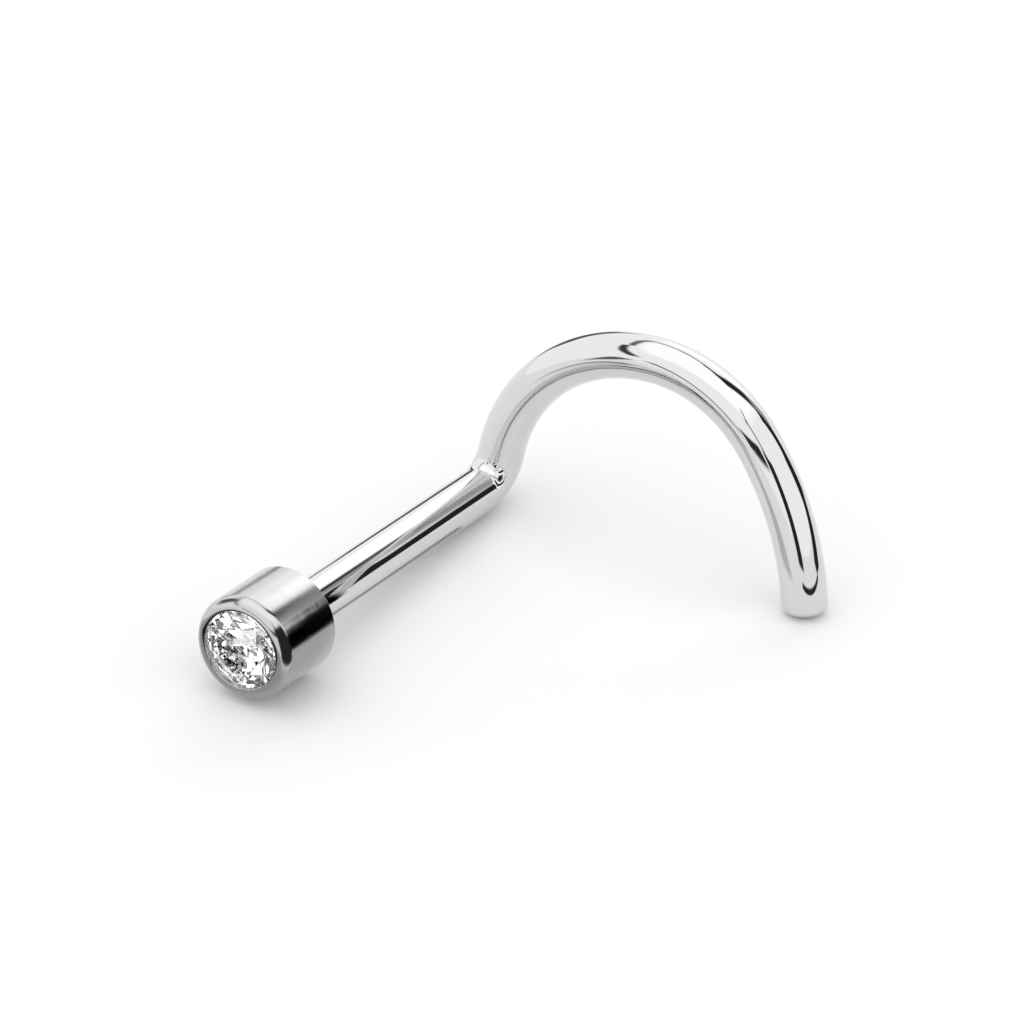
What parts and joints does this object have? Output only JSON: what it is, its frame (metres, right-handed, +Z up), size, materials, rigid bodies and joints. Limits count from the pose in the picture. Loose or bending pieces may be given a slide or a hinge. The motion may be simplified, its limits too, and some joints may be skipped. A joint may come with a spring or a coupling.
{
  "type": "nose stud",
  "caption": "Nose stud with a round faceted stone set in a turned cup, a straight post and a bent hook that keeps it in the nostril.",
  "frame": {"origin": "middle of the footprint, on the surface that the stud rests on", "axes": "+Z up from the surface, +Y along the post from the cup to the hook as seen from above, +X from the tight bend to the hook's tip"},
  "size_m": [0.0076, 0.0086, 0.004],
  "materials": {
    "cup_steel": "fine turned, satin",
    "wire_steel": "mirror polished",
    "stone_crystal": "polished facets"
  },
  "bodies": {
    "root": {"cup": "cup_steel", "stone": "stone_crystal", "wire": "wire_steel"}
  },
  "joints": []
}
